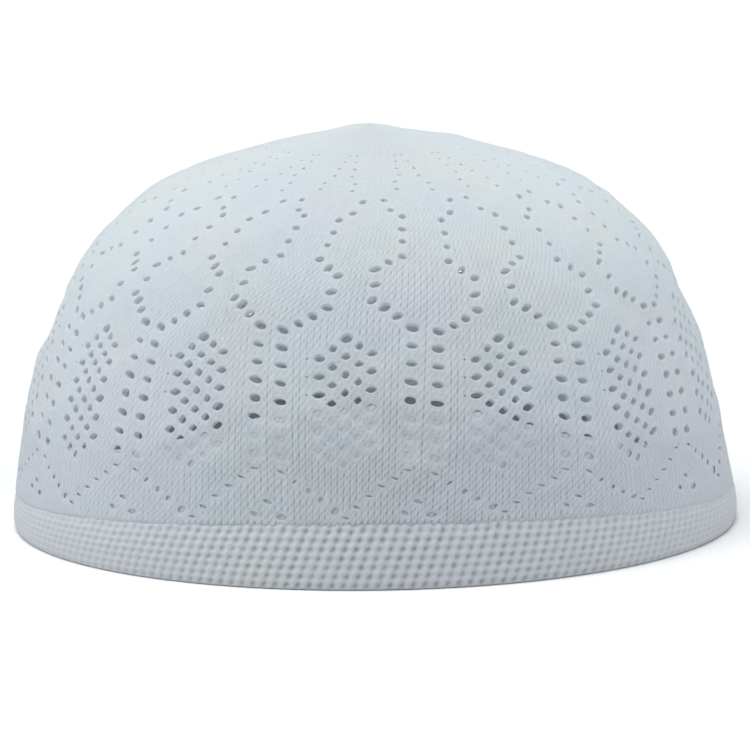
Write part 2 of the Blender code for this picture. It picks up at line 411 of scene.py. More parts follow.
@dataclass
class EyeletChart:
    """The eyelets of one repeat, as runs.

    Attributes:
        layout: Where units and courses lie.
        uneven: Share by which an eyelet's width and height vary.
        turned: Degrees by which its tilt varies.
        seed: Seed of that variation.
        runs: The runs of the chart.
    """

    layout: KnitLayout
    uneven: float = 0.16
    turned: float = 6.0
    seed: int = 5
    runs: tuple[Run, ...] = (
        Run(Eyelet.COLUMN, (-1, 1), (0, -2, -4, -6, -8, -10, -12, -14)),
        Run(Eyelet.HEAD, (6,), (-1,), -6),
        Run(Eyelet.STRAND, (6,), (-3, -5, -7, -9, -11, -13, -15)),
        Run(Eyelet.STRAND, (5, 7), (-2, -4, -6, -8, -10, -12, -14)),
        Run(Eyelet.LENS, (4, 8), (-3, -5, -7, -9, -11, -13)),
        Run(Eyelet.PINHOLE, (3.05,), (-3, -5, -7)),
        Run(Eyelet.SLIT, (-1, 1), (-16,), -8),
        Run(Eyelet.SLIT, (-2,), (-17.3,), -14),
        Run(Eyelet.SLIT, (-3,), (-18.4,), -16),
        Run(Eyelet.SLIT, (-4,), (-19.5,), -18),
        Run(Eyelet.SLIT, (-4.95,), (-20.7,), -18),
        Run(Eyelet.SLIT, (-5.8,), (-21.8,), -12),
        Run(Eyelet.SLIT, (2.1,), (-17.1,), 22),
        Run(Eyelet.ARM, (3.2,), (-18.2,), 24),
        Run(Eyelet.ARM, (4.15,), (-19.3,), 26),
        Run(Eyelet.TOE, (5.3,), (-20.8,), 16),
        Run(Eyelet.HEEL, (-0.05,), (-19.9,), -10),
        Run(Eyelet.ARM, (-1.05,), (-21.5,), -6),
        Run(Eyelet.FOOT, (0.95,), (-21.6,), 10),
        Run(Eyelet.CHAIN, (-2.2,), (1,), 18),
        Run(Eyelet.CHAIN, (2.2,), (1,), -24),
        Run(Eyelet.CHAIN, (-3.2,), (2,), 20),
        Run(Eyelet.CHAIN, (3.2,), (2,), -26),
        Run(Eyelet.CHAIN, (-4.25,), (3,), 12),
        Run(Eyelet.CHAIN, (4.25,), (3,), -22),
        Run(Eyelet.BALLOON, (-4.2, 4.2), (5,)),
        Run(Eyelet.BALLOON, (-4.4, 4.4), (7,)),
        Run(Eyelet.BALLOON, (-3.3,), (8,), -22),
        Run(Eyelet.BALLOON, (3.3,), (8,), 30),
        Run(Eyelet.BALLOON, (-2.15,), (9,), -10),
        Run(Eyelet.BALLOON, (2.15,), (9,), 16),
        Run(Eyelet.OVAL, (-2.25, 2.25), (11,)),
        Run(Eyelet.OVAL, (-2.3, 2.3), (13, 15)),
        Run(Eyelet.OVAL, (-3.7,), (16,), -22),
        Run(Eyelet.OVAL, (3.7,), (16,), 20),
        Run(Eyelet.OVAL, (-4.6,), (18,), -22),
        Run(Eyelet.OVAL, (4.6,), (18,), 14),
        Run(Eyelet.CROWN, (-2.7, 2.7), (20.2,)),
        Run(Eyelet.CROWN, (-2.8, 2.8), (22,)),
        Run(Eyelet.CROWN, (-1.8, 1.8), (24, 26)),
        Run(Eyelet.TIP, (-1.5, 1.5), (28,)),
        Run(Eyelet.TIP, (-1.0, 1.0), (30,)),
    )

    def bores(self) -> list[Bore]:
        """Draw the eyelets of a repeat.

        Returns:
            The eyelets, each with its unit brought to between 0 and the repeat's end.
        """
        random = np.random.default_rng(self.seed)
        found = []
        for run in self.runs:
            for unit in run.units:
                for course in run.courses:
                    wide, tall = 1.0 + self.uneven * random.uniform(-1.0, 1.0, 2)
                    width, height, power, peak = run.kind.value
                    shape = EyeletShape(width * wide, height * tall, power, peak)
                    tilt = run.tilt + float(random.normal(0.0, self.turned))
                    found.append(Bore(unit % self.layout.units, course, shape, tilt))
        return found


class RingForm(NamedTuple):
    """How the corners of a ring round an eyelet lie.

    Attributes:
        inset: Depth behind the layer's face in millimetres, negative where it stands proud.
        pit: How deeply its colour is darkened with painted shade, from 0 to 1.
        sink: Share of the eyelets' sinking where the facing backs the wall.
    """

    inset: float
    pit: float
    sink: float


class Ring(Enum):
    """The rings of corners round an eyelet, on the wall's face, in the bore and on the wall's back."""

    # The second values paint shade into the colour round each eyelet, darkest in the bore at its waist and
    # back.
    EDGE = RingForm(0.16, 0.5, 1.0)
    RIM = RingForm(-0.13, 0.3, 0.9)
    SHOULDER = RingForm(0.0, 0.38, 0.6)
    WAIST = RingForm(0.0, 0.7, 0.5)
    BACK = RingForm(0.0, 0.7, 0.0)


class Corner(NamedTuple):
    """One corner of the wall.

    Attributes:
        unit: Units round the cap.
        course: Courses up the wall.
        inset: Depth behind the layer's face in millimetres.
        pit: How deeply its colour is darkened with painted shade, from 0 to 1.
        bored: 1 on an eyelet's ring, else 0.
        sink: Further depth in millimetres where the facing backs the wall.
    """

    unit: float
    course: float
    inset: float
    pit: float
    bored: float
    sink: float


class Grid(NamedTuple):
    """The plain corners of one layer of the wall.

    Attributes:
        rows: The corners, one row each, with the values of a Corner.
        ready: Which of them lie clear of the eyelets.
        pairs: Pairs of them that the edge of a stitch joins.
    """

    rows: Array
    ready: Array
    pairs: list[Pair]


@dataclass
class RepeatSheet:
    """One repeat of the knit's wall, laid flat and cut into triangles.

    It lists corners in units and courses, with a depth behind the wall's face, and triangles that refer
    to a corner and to the neighbour repeat that it belongs to. Its other sizes are in millimetres.

    Attributes:
        chart: The eyelets to cut.
        foot: Lowest course.
        tip: Highest course, just short of the tip.
        coarser: Course from which each unit has so many wales.
        seam: How far the lines of stitches start above such a course and stop below the next, in courses.
        line_step: Distance between two lines of corners, in courses.
        zigzag: Height of the knit's v in courses.
        relief: Height of a stitch over the pits beside it.
        face_level: Share of that height at which the wall's face lies.
        crests: Share of that height at each corner across a wale, for its lower and its upper half.
        lively: Share by which the stitches vary in height.
        mean_pit: Share of a pit's painted shade that the knit has on average.
        back_pit: Share of that painted shade that the wall's back has.
        stitch_gap: Distance from an eyelet's edge within which no stitch has a corner.
        edge_gap: The same for the middle of a stitch's edge.
        back_gap: The same for the corners of the wall's back.
        back_steps: Course from which these corners lie so many units apart.
        calm_reach: Distances from an eyelet at which the stitches are flat and at which they are full.
        sink: How far an eyelet's edge sinks where the facing backs the wall.
        sink_reach: Distances from an eyelet at which the knit sinks with it and at which it no longer does.
        sides: Corners round an eyelet.
        small_width: Width below which an eyelet has half as many, and no shoulder.
        rim: How far outside its edge an eyelet's rim lies.
        small_rim: The same for a small eyelet.
        shoulder: How far outside its edge an eyelet's shoulder lies.
        shoulder_gap: Share of that distance which a shoulder keeps from other eyelets.
        foot_gap: How far above the foot a shoulder starts, in courses.
        waist: How far inside its edge an eyelet's waist lies.
        waist_courses: Courses over which the waist comes in, from none to full.
        small_waist: How far inside its edge a small eyelet's waist lies.
        flare: How far outside its edge an eyelet opens at the wall's back.
        wobble: How far the corners of an eyelet's rings stray.
        flat_unit: Width of a unit on the flat sheet.
        flat_course: Height of a course on the flat sheet.
        jitter: How far corners are moved on the flat sheet, to keep them off one line.
        margin: How far beyond its ends a repeat is cut together with its neighbours, in units.
        seed: Seed of the stitches' variation.
    """

    chart: EyeletChart
    foot: float = -26.0
    tip: float = 42.5
    coarser: Table = ((-26.0, 2.0), (23.0, 1.0), (31.0, 0.5), (38.0, 0.25))
    seam: tuple[float, float] = (0.25, 0.3)
    line_step: float = 0.5
    zigzag: float = 0.5
    relief: float = 0.42
    face_level: float = 0.6
    crests: tuple[tuple[float, ...], ...] = ((0.0, 0.95, 0.25, 0.6), (0.6, 0.6, 0.85, 1.0))
    lively: float = 0.16
    mean_pit: float = 0.38
    back_pit: float = 0.4
    stitch_gap: float = 0.50
    edge_gap: float = 0.6
    back_gap: float = 0.40
    back_steps: Table = ((-26.0, 0.125), (-25.0, 0.5), (20.0, 1.0))
    calm_reach: tuple[float, float] = (0.3, 1.3)
    sink: float = 0.2
    sink_reach: tuple[float, float] = (0.2, 1.5)
    sides: int = 16
    small_width: float = 1.0
    rim: float = 0.28
    small_rim: float = 0.16
    shoulder: float = 0.62
    shoulder_gap: float = 0.80
    foot_gap: float = 0.25
    waist: float = 0.3
    waist_courses: tuple[float, float] = (-9.0, -3.0)
    small_waist: float = 0.03
    flare: float = 0.12
    wobble: float = 0.012
    flat_unit: float = 3.03
    flat_course: float = 2.13
    jitter: float = 0.004
    margin: float = 2.5
    seed: int = 11

    def __post_init__(self) -> None:
        """Lay out the corners and cut the triangles."""
        self.layout = self.chart.layout
        self.bores = self.chart.bores()
        self.random = np.random.default_rng(self.seed)
        self.corners = []
        self.rings = {}
        self.ring_corners = {}
        self._trace_eyelets()
        self.outer = self._cut_layer(self._stitch_grid(), (Ring.EDGE, Ring.RIM, Ring.SHOULDER))
        self.inner = self._cut_layer(self._plain_grid(), (Ring.BACK,))
        self.lips = self._join_layers()

    def _outline(self, bore: Bore, grow: float, count: int) -> Array:
        """Trace an eyelet's outline.

        Args:
            bore: The eyelet.
            grow: How far outside its edge to trace.
            count: Number of points.

        Returns:
            Millimetres right and up of the eyelet's centre, one row a point.
        """
        angle = math.tau * (np.arange(count) + 0.5) / count
        cosine, sine = np.cos(angle), np.sin(angle)
        power = 2.0 / bore.shape.power
        tall = bore.shape.height / 2 + grow
        across = (bore.shape.width / 2 + grow) * np.sign(cosine) * np.abs(cosine) ** power
        up = tall * np.sign(sine) * np.abs(sine) ** power
        across = across * (1.0 - bore.shape.peak * up / tall)
        turn = math.radians(bore.tilt)
        right = across * math.cos(turn) - up * math.sin(turn)
        return np.stack([right, across * math.sin(turn) + up * math.cos(turn)], axis=1)

    def _scale(self, bore: Bore) -> Array:
        """Give the width of a unit and the height of a course at an eyelet, in millimetres."""
        return np.array([self.layout.unit_width(bore.course), self.layout.course_height(bore.course)])

    def _trace_eyelets(self) -> None:
        """Trace each eyelet's rings in units and courses."""
        for number, bore in enumerate(self.bores):
            small = bore.shape.width < self.small_width
            count = self.sides // 2 if small else self.sides
            scale = self._scale(bore)
            waist = self.waist * float(blend_in(np.array(bore.course), *self.waist_courses))
            trace = {
                Ring.EDGE: 0.0,
                Ring.RIM: self.small_rim if small else self.rim,
                Ring.SHOULDER: self.shoulder,
                Ring.WAIST: -self.small_waist if small else -waist,
                Ring.BACK: self.flare,
            }
            for ring, grow in trace.items():
                if small and ring is Ring.SHOULDER:
                    continue
                wobble = self.random.normal(0.0, self.wobble, (count, 2))
                centre = np.array([bore.unit, bore.course])
                self.rings[number, ring] = centre + (self._outline(bore, grow, count) + wobble) / scale

    def _clearance(self, points: Array) -> Array:
        """Measure how clear of the eyelets points lie.

        Args:
            points: Unit and course of each point.

        Returns:
            Each point's distance from the nearest eyelet's edge in millimetres, negative inside one.
        """
        far, near = 99.0, 4.0
        nearest = np.full(len(points), far)
        for number, bore in enumerate(self.bores):
            edge = self.rings[number, Ring.EDGE]
            scale = self._scale(bore)
            for shift in (-self.layout.units, 0, self.layout.units):
                centre = np.array([bore.unit + shift, bore.course])
                away = (points - centre) * scale
                close = np.nonzero(np.hypot(away[:, 0], away[:, 1]) < near)[0]
                if not len(close):
                    continue
                ring = (edge + np.array([shift, 0.0]) - centre) * scale
                gaps = np.linalg.norm(away[close][:, None, :] - ring[None, :, :], axis=2)
                reach = np.linalg.norm(away[close], axis=1)
                inside = reach < np.linalg.norm(ring[np.argmin(gaps, axis=1)], axis=1)
                distance = np.where(inside, -gaps.min(axis=1), gaps.min(axis=1))
                nearest[close] = np.minimum(nearest[close], distance)
        return nearest

    def _stitch_grid(self) -> Grid:
        """Lay out the corners of the plain stitches of a repeat.

        Returns:
            The corners of the wall's face and the stitches' edges.
        """
        rows, lines = [], {}
        above, below = self.seam
        ends = [start for start, _ in self.coarser[1:]] + [self.tip]
        for (start, wales), end in zip(self.coarser, ends):
            first = start if start == self.foot else start + above
            for line in np.arange(first, end - below, self.line_step):
                crests = np.array(self.crests[int(round((line - first) / self.line_step)) % 2])
                added = self._stitch_line(line, wales, crests)
                lines[line] = (len(rows), len(added))
                rows.extend(added)
        rows.extend(self._border(self.tip))
        grid = np.array(rows)
        clear = self._clearance(grid[:, :2])
        ready = clear > self.stitch_gap
        calm = blend_in(clear, *self.calm_reach)
        lively = 1.0 + self.random.normal(0.0, self.lively, len(grid))
        grid[:, 2] *= calm * lively
        # Painted pit shade, calmed towards the mean near the eyelets like the relief.
        grid[:, 3] = self.mean_pit + (grid[:, 3] - self.mean_pit) * calm * lively
        grid[:, 5] = self.sink * (1.0 - blend_in(clear, *self.sink_reach))
        return Grid(grid, ready, self._stitch_edges(grid, ready, lines))

    def _stitch_line(self, line: float, wales: float, crests: Array) -> list[Corner]:
        """Lay out one line of stitches.

        Args:
            line: Course of the line.
            wales: Wales in a unit.
            crests: Share of the stitches' height at each corner across a wale.

        Returns:
            The line's corners.
        """
        across = len(crests)
        count = int(round(self.layout.units * wales * across))
        loop = np.arange(count) % across
        calm = 0.0 if line == self.foot else 1.0
        rise = self.zigzag * np.abs(2.0 * (loop / across) - 1.0) * calm
        unit = np.arange(count) / (wales * across)
        crest = crests[loop]
        inset = self.relief * (self.face_level - crest)
        # The last value is painted shade, darker where a stitch sinks between the crests.
        return [Corner(*values, 0.0, 0.0) for values in zip(unit, line + rise, inset, 1.0 - crest)]

    def _stitch_edges(self, grid: Array, ready: Array, lines: dict[float, Pair]) -> list[Pair]:
        """Find the edges of the stitches that no eyelet cuts.

        Args:
            grid: The corners of the wall's face.
            ready: Which of them lie clear of the eyelets.
            lines: First corner and number of corners of each line, by its course.

        Returns:
            Pairs of corners.
        """
        pairs = []
        for line, (start, count) in lines.items():
            above = lines.get(line + self.line_step)
            for i in range(count):
                pairs.append((start + i, start + (i + 1) % count))
                if above and above[1] == count:
                    pairs.append((start + i, above[0] + i))
        middles = np.array([self._middle(grid, pair) for pair in pairs])
        free = self._clearance(middles) > self.edge_gap
        return [(a, b) for (a, b), kept in zip(pairs, free) if kept and ready[a] and ready[b]]

    def _middle(self, grid: Array, pair: Pair) -> Array:
        """Find the middle of a pair of corners, which may be joined across the repeat's end.

        Args:
            grid: The corners of a layer.
            pair: The two corners.

        Returns:
            Unit and course of the middle.
        """
        a, b = grid[pair[0], :2], grid[pair[1], :2].copy()
        if a[0] - b[0] > self.layout.units / 2:
            b[0] += self.layout.units
        return (a + b) / 2

    def _border(self, course: float) -> list[Corner]:
        """Give the corners of a border line, one for each unit."""
        units = range(self.layout.units)
        return [Corner(float(unit), course, 0.0, self.mean_pit, 0.0, 0.0) for unit in units]

    def _plain_grid(self) -> Grid:
        """Lay out the corners of the wall's back.

        Returns:
            The corners, with more of them along the foot and fewer near the tip.
        """
        rows = []
        for course in [self.foot, *np.arange(self.foot + 1.0, self.tip - self.seam[1], 1.0)]:
            step = [apart for start, apart in self.back_steps if course >= start][-1]
            for unit in np.arange(0.0, self.layout.units, step):
                # The wall's back takes an even painted shade.
                rows.append(Corner(unit, course, 0.0, self.back_pit, 0.0, 0.0))
        grid = np.array(rows + self._border(self.tip))
        return Grid(grid, self._clearance(grid[:, :2]) > self.back_gap, [])

    def _cut_layer(self, grid: Grid, rings: tuple[Ring, ...]) -> list[Triangle]:
        """Cut one layer of the wall into triangles.

        Args:
            grid: The layer's plain corners.
            rings: The eyelets' rings in the layer, with the one that bounds the hole first.

        Returns:
            The layer's triangles.
        """
        first = len(self.corners)
        made = {int(i): first + place for place, i in enumerate(np.nonzero(grid.ready)[0])}
        self.corners.extend(Corner(*grid.rows[i]) for i in made)
        links = [(made[a], made[b]) for a, b in grid.pairs]
        holes = {}
        for number in range(len(self.bores)):
            for ring in rings:
                added = self._add_ring(number, ring)
                if ring is not Ring.SHOULDER:
                    links.extend(zip(added, added[1:] + added[:1]))
                if ring is rings[0]:
                    holes.update(dict.fromkeys(added, number))
        return self._triangles(first, links, holes)

    def _add_ring(self, number: int, ring: Ring) -> list[int]:
        """Add the corners of a ring round an eyelet, if it has that ring.

        Args:
            number: Number of the eyelet.
            ring: The ring.

        Returns:
            The numbers of its corners, in order.
        """
        traced = self.rings.get((number, ring), np.empty((0, 2)))
        if ring is Ring.SHOULDER:
            apart = self._clearance(traced) > self.shoulder * self.shoulder_gap
            traced = traced[apart & (traced[:, 1] > self.foot + self.foot_gap)]
        first = len(self.corners)
        inset, pit, share = ring.value
        sink = share * self.sink
        # Each ring's corners take its painted shade share, darker in the bore.
        self.corners.extend(Corner(unit, course, inset, pit, 1.0, sink) for unit, course in traced)
        self.ring_corners[number, ring] = list(range(first, len(self.corners)))
        return self.ring_corners[number, ring]

    def _triangles(self, first: int, links: list[Pair], holes: dict[int, int]) -> list[Triangle]:
        """Triangulate a layer together with its neighbours on both sides.

        Args:
            first: Number of the layer's first corner.
            links: Pairs of corners that must be joined.
            holes: The eyelet that each corner of a hole's edge belongs to.

        Returns:
            The triangles whose middle lies within the repeat.
        """
        units = self.layout.units
        spots = np.array(self.corners)[first:, :2]
        shake = self.random.uniform(-self.jitter, self.jitter, spots.shape)
        shake[(spots[:, 1] == self.foot) | (spots[:, 1] == self.tip)] = 0.0
        flat = spots * np.array([self.flat_unit, self.flat_course]) + shake
        where, owners, lookup = [], [], {}
        for shift in (-1, 0, 1):
            moved = flat + np.array([shift * units * self.flat_unit, 0.0])
            along = spots[:, 0] + shift * units
            for i in np.nonzero((along > -self.margin) & (along < units + self.margin))[0]:
                lookup[first + int(i), shift] = len(where)
                owners.append((first + int(i), shift))
                where.append(Vector((moved[i][0], moved[i][1])))
        edges = self._linked(links, lookup)
        points, _, faces, sources, _, _ = delaunay_2d_cdt(where, edges, [], 0, 1e-6)
        triangles = []
        for face in faces:
            middle = sum(points[i][0] for i in face) / 3.0
            found = tuple(owners[sources[i][0]] for i in face)
            bounded = {holes.get(corner) for corner, _ in found}
            in_hole = len(bounded) == 1 and None not in bounded
            if 0.0 <= middle < units * self.flat_unit and not in_hole:
                triangles.append(found)
        return triangles

    def _linked(self, links: list[Pair], lookup: dict[Pair, int]) -> list[Pair]:
        """Repeat the joined pairs of corners over a repeat and its neighbours.

        Args:
            links: Pairs of corners, some of them joined across the repeat's end.
            lookup: Number of the laid-out point of each corner and neighbour repeat.

        Returns:
            Pairs of laid-out points.
        """
        units = self.layout.units
        edges = []
        for a, b in links:
            gap = self.corners[b].unit - self.corners[a].unit
            wrap = -1 if gap > units / 2 else (1 if gap < -units / 2 else 0)
            for shift in (-1, 0, 1):
                ends = (lookup.get((a, shift)), lookup.get((b, shift + wrap)))
                if None not in ends:
                    edges.append(ends)
        return edges

    def _join_layers(self) -> list[tuple[int, int, int, int]]:
        """Add each eyelet's waist and join its edge, waist and back.

        Returns:
            Four corner numbers for each quad in the eyelets' bores.
        """
        quads = []
        for number in range(len(self.bores)):
            middle = self._add_ring(number, Ring.WAIST)
            front = self.ring_corners[number, Ring.EDGE]
            back = self.ring_corners[number, Ring.BACK]
            for upper, lower in ((front, middle), (middle, back)):
                quads.extend(zip(upper, upper[1:] + upper[:1], lower[1:] + lower[:1], lower))
        return quads


@dataclass
class CapWall:
    """The knitted dome: its pierced wall, cut into pieces at a few courses.

    Attributes:
        layout: Where units and courses lie.
        hem: The hem over the wall's foot and the facing behind the wall.
        sheet: One repeat of the wall.
        thickness: Thickness of the wall in millimetres.
        lined_thickness: The same where the facing backs it.
        lined_over: Distances above the facing's top edge over which the wall thickens, in millimetres.
        smoothed: Share of an eyelet's rim and painted shade that is lost where the facing backs it.
        low_backing: Share of that loss near the foot.
        low_courses: Courses over which it rises to the full loss.
        shading: Course, the share of its relief and painted shade contrast that the knit keeps there, and
            its mean painted shade, which paints the wall darker low down and lighter towards the top.
        side_calm: Share of that relief and painted shade contrast that is lost at the sides.
        side_lift: How much less painted shade the knit has at the sides, which paints them lighter.
        side_dim: Share of the light through the wall's back that is lost at the sides.
        tuck: How far the wall steps back behind the hem.
        tuck_over: Distances below the hem's top edge over which it does so.
        tip_rise: How far the tip stands over the highest course.
        tip_pit: How deeply the tip's colour is darkened with painted shade.
        pieces: Name of each piece, and the course at which it starts.
    """

    layout: KnitLayout
    hem: HemLine
    sheet: RepeatSheet
    thickness: float = 1.8
    lined_thickness: float = 0.26
    lined_over: tuple[float, float] = (-0.5, 2.5)
    smoothed: float = 0.95
    low_backing: float = 0.78
    low_courses: tuple[float, float] = (-16.0, -13.0)
    shading: tuple[tuple[float, float, float], ...] = (
        (-26, 0.95, 0.51), (-14, 0.95, 0.48), (-4, 0.9, 0.43), (4, 0.95, 0.38), (12, 0.65, 0.30),
        (20, 0.42, 0.24), (30, 0.3, 0.22), (43, 0.25, 0.22),
    )
    side_calm: float = 0.6
    side_lift: float = 0.14
    side_dim: float = 0.5
    tuck: float = 1.4 * MM
    tuck_over: tuple[float, float] = (0.1 * MM, 1.7 * MM)
    tip_rise: float = 0.05 * MM
    tip_pit: float = 0.6
    pieces: tuple[tuple[str, float], ...] = (
        ("wall_above_hem", -99.0), ("wall_lattice", -12.75), ("wall_columns", -2.25),
        ("wall_shoulder", 7.25), ("crown_top", 18.75),
    )

    def build(self, material: bpy.types.Material) -> list[bpy.types.Object]:
        """Build the wall.

        Args:
            material: Finish of the knit.

        Returns:
            The wall's pieces.
        """
        points, course, pit, back = self._corners()
        hubs, fans = self._tip_fans(points)
        points = np.vstack([points, *hubs])
        faces = np.vstack([self._faces(), *fans])
        course = np.append(course, [self.sheet.tip] * len(hubs))
        pit = np.append(pit, [self.tip_pit] * len(hubs))
        back = np.append(back, [0.0, 1.0])
        normals = vertex_normals(points, faces)
        middles = course[faces].mean(axis=1)
        built = []
        ends = [start for _, start in self.pieces[1:]] + [math.inf]
        for (name, start), end in zip(self.pieces, ends):
            chosen = faces[(middles >= start) & (middles < end)]
            used, local = np.unique(chosen, return_inverse=True)
            # The pit share darkens the colour with painted shade.
            shares = {"pit": pit[used], "back": back[used]}
            mesh = mesh_from(name, points[used], local.reshape(-1, 3), shares)
            mesh.normals_split_custom_set_from_vertices(normals[used].tolist())
            built.append(finished(name, mesh, material, "crown"))
        return built

    def _corners(self) -> tuple[Array, Array, Array, Array]:
        """Place the corners of all repeats, without the tip's.

        Returns:
            The points; the course of each; how deeply its colour is darkened with painted shade; and the
            light through its back.
        """
        outline, repeats = self.layout.outline, self.layout.repeats
        table = np.array(self.sheet.corners)
        unit = (table[:, 0][None, :] + np.arange(repeats)[:, None] * self.layout.units).ravel()
        course, inset, pit, bored, sink = np.tile(table[:, 1:].T, repeats)
        arc, azimuth = self.layout.spot(unit, course)
        facing_arc = outline.arc_at(self.hem.facing(azimuth))
        start, end = self.lined_over
        bare = blend_in(arc - facing_arc, start * MM, end * MM)
        depth = (self.lined_thickness + (self.thickness - self.lined_thickness) * bare) * MM
        backing = self.low_backing + (1.0 - self.low_backing) * blend_in(course, *self.low_courses)
        lined = (1.0 - bare) * backing
        kept = 1.0 - self.smoothed * bored * lined
        sideways = np.sin(azimuth) ** 2
        # Painted shade: its mean falls up the wall and at the sides, which paints the top and the sides
        # lighter, and its contrast is calmed with the relief.
        courses, contrasts, means = np.array(self.shading, float).T
        contrast = np.interp(course, courses, contrasts) * (1.0 - self.side_calm * sideways)
        mean = np.interp(course, courses, means) - self.side_lift * sideways
        pit = mean + (pit - self.sheet.mean_pit) * kept * contrast
        behind = np.tile(self._behind(), repeats)
        inset = (inset * kept * contrast + sink * lined) * MM + behind * depth
        below = outline.arc_at(self.hem.top(azimuth)) - arc
        inset = inset + self.tuck * blend_in(below, *self.tuck_over)
        back = behind * (1.0 - self.side_dim * sideways)
        return outline.place(arc, azimuth, inset), course, pit, back

    def _behind(self) -> Array:
        """Find how far behind the wall's face each of the sheet's corners belongs.

        Returns:
            0 on the face, 0.5 at an eyelet's waist and 1 on the back.
        """
        share = np.zeros(len(self.sheet.corners))
        share[np.array(self.sheet.inner)[:, :, 0]] = 1.0
        for (_, ring), corners in self.sheet.ring_corners.items():
            share[corners] = {Ring.WAIST: 0.5, Ring.BACK: 1.0}.get(ring, 0.0)
        return share

    def _faces(self) -> Array:
        """Repeat the sheet's triangles round the cap and close the foot.

        Returns:
            Three corner numbers for each triangle.
        """
        sheet = self.sheet
        turned = [triangle[::-1] for triangle in sheet.inner]
        bores = []
        for a, b, c, d in sheet.lips:
            bores.append(((a, 0), (b, 0), (c, 0)))
            bores.append(((a, 0), (c, 0), (d, 0)))
        front, back = (self._border_corners(layer, sheet.foot) for layer in (sheet.outer, sheet.inner))
        foot = []
        for i in range(len(front)):
            j = (i + 1) % len(front)
            wrap = 1 if j == 0 else 0
            foot.append(((front[i], 0), (back[i], 0), (back[j], wrap)))
            foot.append(((front[i], 0), (back[j], wrap), (front[j], wrap)))
        return np.vstack([self._repeated(part) for part in (sheet.outer, turned, bores, foot)])

    def _repeated(self, triangles: list[Triangle]) -> Array:
        """Repeat triangles of the sheet round the cap.

        Args:
            triangles: Triangles of one repeat.

        Returns:
            Three corner numbers for each triangle of all repeats.
        """
        pairs, repeats = np.array(triangles)[None], self.layout.repeats
        owner = (pairs[..., 1] + np.arange(repeats)[:, None, None]) % repeats
        return (pairs[..., 0] + owner * len(self.sheet.corners)).reshape(-1, 3)

    def _border_corners(self, triangles: list[Triangle], course: float) -> list[int]:
        """Find a layer's corners on a border line.

        Args:
            triangles: The layer's triangles.
            course: Course of the line.

        Returns:
            The corners, in order round the repeat.
        """
        corners = self.sheet.corners
        used = {corner for triangle in triangles for corner, _ in triangle}
        found = [corner for corner in used if corners[corner].course == course]
        return sorted(found, key=lambda corner: corners[corner].unit)

    def _tip_fans(self, points: Array) -> tuple[list[Array], list[Array]]:
        """Close the wall's face and back at the tip.

        Args:
            points: The corners of all repeats.

        Returns:
            The tip of the face and of the back, and a fan of triangles round each.
        """
        count, repeats = len(self.sheet.corners), self.layout.repeats
        hubs, fans = [], []
        for triangles, turn in ((self.sheet.outer, 1), (self.sheet.inner, -1)):
            ring = self._border_corners(triangles, self.sheet.tip)
            around = np.array([corner + repeat * count for repeat in range(repeats) for corner in ring])
            hub = np.full(len(around), len(points) + len(hubs))
            fans.append(np.stack([around, np.roll(around, -1), hub][::turn], axis=1))
            hubs.append(points[around].mean(axis=0) + np.array([0.0, 0.0, self.tip_rise]))
        return hubs, fans


